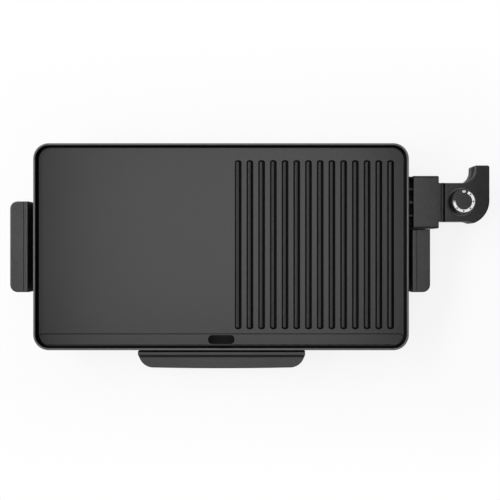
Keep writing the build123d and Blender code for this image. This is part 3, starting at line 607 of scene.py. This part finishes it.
def crossCutter(axis, low, kind):
    arm = kind["head"] * screwLook["crossLength"]
    width = kind["head"] * screwLook["crossWidth"]
    depth = kind["headHeight"] * screwLook["crossDepth"]
    taper = screwLook["crossTaper"]
    arms = []
    for size in ((arm, width, 2 * depth), (width, arm, 2 * depth)):
        deselectAll()
        bpy.ops.mesh.primitive_cube_add(size=1, location=(axis.x, axis.y, low))
        made = bpy.context.object
        made.scale = size
        settlePlace()
        pickFaces(made, facesUp)
        bpy.ops.transform.resize(value=(taper, taper, 1), center_override=(axis.x, axis.y, low + depth))
        bpy.ops.object.mode_set(mode="OBJECT")
        arms.append(made)
    return arms


def extrudeUp(rise):
    bpy.ops.mesh.extrude_region_move(TRANSFORM_OT_translate={"value": (0, 0, rise)})


def panScrew(axis, low, high, kind):
    head, shank, thick = kind["head"], kind["shank"], kind["headHeight"]
    seat = low + thick
    deselectAll()
    bpy.ops.mesh.primitive_cylinder_add(
        vertices=screwLook["sides"], radius=head, depth=thick, end_fill_type="NGON",
        location=(axis.x, axis.y, low + thick / 2),
    )
    screw = bpy.context.object
    settlePlace()
    pickFaces(screw, facesDown)
    bpy.ops.mesh.bevel(
        offset=thick * screwLook["domeShare"], segments=screwLook["domeSteps"], profile=0.5, affect="EDGES",
    )
    pickFaces(screw, facesUp)
    bpy.ops.mesh.inset(thickness=head - shank)
    reach = seat + (high - seat) * screwLook["plainShare"]
    extrudeUp(reach - seat)
    root = screwLook["rootShare"]
    halfPitch = screwLook["pitch"] / 2
    turns = int((high - reach) / screwLook["pitch"]) - 1
    for _ in range(turns):
        for share in (root, 1 / root):
            reach += halfPitch
            extrudeUp(halfPitch)
            bpy.ops.transform.resize(value=(share, share, 1), center_override=(axis.x, axis.y, reach))
    tip = screwLook["tipShare"]
    extrudeUp(high - reach)
    bpy.ops.transform.resize(value=(tip, tip, 1), center_override=(axis.x, axis.y, high))
    bpy.ops.object.mode_set(mode="OBJECT")
    for arm in crossCutter(axis, low, kind):
        cut = screw.modifiers.new("crossRecess", "BOOLEAN")
        cut.operation = "DIFFERENCE"
        cut.solver = "EXACT"
        cut.object = arm
        selectOnly([screw])
        bpy.ops.object.modifier_apply(modifier=cut.name)
        bpy.data.objects.remove(arm)
    bpy.ops.object.mode_set(mode="EDIT")
    bpy.ops.mesh.select_all(action="SELECT")
    bpy.ops.mesh.remove_doubles(threshold=screwLook["mergeGap"])
    bpy.ops.mesh.normals_make_consistent(inside=False)
    bpy.ops.object.mode_set(mode="OBJECT")
    bpy.ops.object.shade_smooth_by_angle(angle=math.radians(screwLook["smoothAngle"]))
    return screw


for nodeName, kind in screwKinds.items():
    screwLow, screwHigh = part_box(nodeName)
    axes = screwAxes(nodes[nodeName], kind["head"])
    first = panScrew(axes[0], screwLow.z, screwHigh.z, kind)
    screws = [first]
    for axis in axes[1:]:
        selectOnly([first])
        bpy.ops.object.duplicate(linked=False)
        bpy.ops.transform.translate(value=axis - axes[0])
        screws.append(bpy.context.object)
    joined = joinPieces(screws)
    finishPiece(joined, kind["piece"], kind["body"], steel)
    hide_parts(nodeName)
    print("screws made:", kind["piece"], len(axes), "of", len(joined.data.polygons), "faces")

# white floor that keeps the shadow near the object and is plain white away from it
floorLook = dict(size=6.0, drop=0.0002, tone=0.98, rough=0.9, white=0.84, fadeWidth=0.16)
deselectAll()
bpy.ops.mesh.primitive_plane_add(size=floorLook["size"], location=(0, 0, -floorLook["drop"]))
floor = bpy.context.object
floor.name = "studioFloor"
floorTone = (floorLook["tone"], floorLook["tone"], floorLook["tone"], 1)
floorFinish = Finish("studioFloorWhite", Roughness=floorLook["rough"], Base_Color=floorTone)
floorPlace = floorFinish.axes(floorFinish.place)
away = 0.0
for axis, reach in (("x", cadBox[1].x), ("y", cadBox[1].y)):
    fade = (reach + floorLook["fadeWidth"]) ** 2 - reach ** 2
    away = (floorPlace[axis] * floorPlace[axis] - reach ** 2).atLeast(0.0) * (1 / fade) + away
white = floorLook["white"] + away.atMost(1.0) * (1 - floorLook["white"])
lit = Sock(floorFinish.tree, floorFinish.shader.outputs[0])
glow = floorFinish.node("ShaderNodeEmission", inputs={"Color": (1, 1, 1, 1), "Strength": 1.0})
blend = floorFinish.node("ShaderNodeMixShader", inputs={0: floorFinish.plainView() * white, 1: lit, 2: glow})
floorFinish.tree.links.new(blend.socket, floorFinish.tree.nodes["Material Output"].inputs["Surface"])
floor.data.materials.append(floorFinish.material)

# light: soft boxes on the left, above, in front and behind, faint fill, and a pale band round the horizon
lightLook = dict(
    fill=0.06, bandFrom=8.0, bandTo=22.0, aimHeight=0.06,
    lamps={
        "keySoftBox": dict(place=(-1.72, 0.40, 2.02), size=(3.0, 0.75), power=42.0, aimed=True),
        "topSoftBox": dict(place=(-0.10, 0.12, 2.40), size=(1.50, 1.3), power=16.3, aimed=False),
        "frontSoftBox": dict(place=(0.0, -2.10, 1.75), size=(4.0, 1.6), power=9.0, aimed=True),
        "backSoftBox": dict(place=(0.0, 2.10, 1.75), size=(4.0, 1.8), power=19.0, aimed=True),
    },
)
scene = bpy.context.scene
scene.view_settings.view_transform = "Standard"
world = bpy.data.worlds.new("studioWorld")
scene.world = world
world.use_nodes = True
sky = NodeBench(world.node_tree)
height = sky.axes(sky.node("ShaderNodeTexCoord", out="Generated"))["z"]
bandFoot = math.sin(math.radians(lightLook["bandFrom"]))
bandTop = math.sin(math.radians(lightLook["bandTo"]))
band = 1 - height.rising(bandFoot, bandTop - bandFoot)
strength = lightLook["fill"] + sky.plainView() * band * (1 - lightLook["fill"])
backdrop = world.node_tree.nodes["Background"]
backdrop.inputs["Color"].default_value = (1, 1, 1, 1)
world.node_tree.links.new(strength.socket, backdrop.inputs["Strength"])
lampAim = Vector((0, 0, lightLook["aimHeight"]))
for lampName, look in lightLook["lamps"].items():
    deselectAll()
    bpy.ops.object.light_add(type="AREA", location=look["place"])
    lamp = bpy.context.object
    lamp.name = lampName
    lamp.data.shape = "RECTANGLE"
    lamp.data.size, lamp.data.size_y = look["size"]
    lamp.data.energy = look["power"]
    if look["aimed"]:
        lamp.rotation_euler = (lampAim - lamp.location).to_track_quat("-Z", "Y").to_euler()
print("studio made")

# camera straight above, a metre over the rim
cameraLook = dict(across=0.03625, along=-0.004125, overRim=1.0, lens=57.6, sensor=36.0, clipStart=0.01)
plateLow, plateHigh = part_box("griddle_plate")
cameraPlace = Vector((
    (plateLow.x + plateHigh.x) / 2 + cameraLook["across"],
    (plateLow.y + plateHigh.y) / 2 + cameraLook["along"],
    plateHigh.z + cameraLook["overRim"],
))
deselectAll()
bpy.ops.object.camera_add(location=cameraPlace, rotation=(0, 0, 0))
camera = bpy.context.object
camera.name = "photoCamera"
camera.data.lens = cameraLook["lens"]
camera.data.sensor_width = cameraLook["sensor"]
camera.data.clip_start = cameraLook["clipStart"]
scene.camera = camera
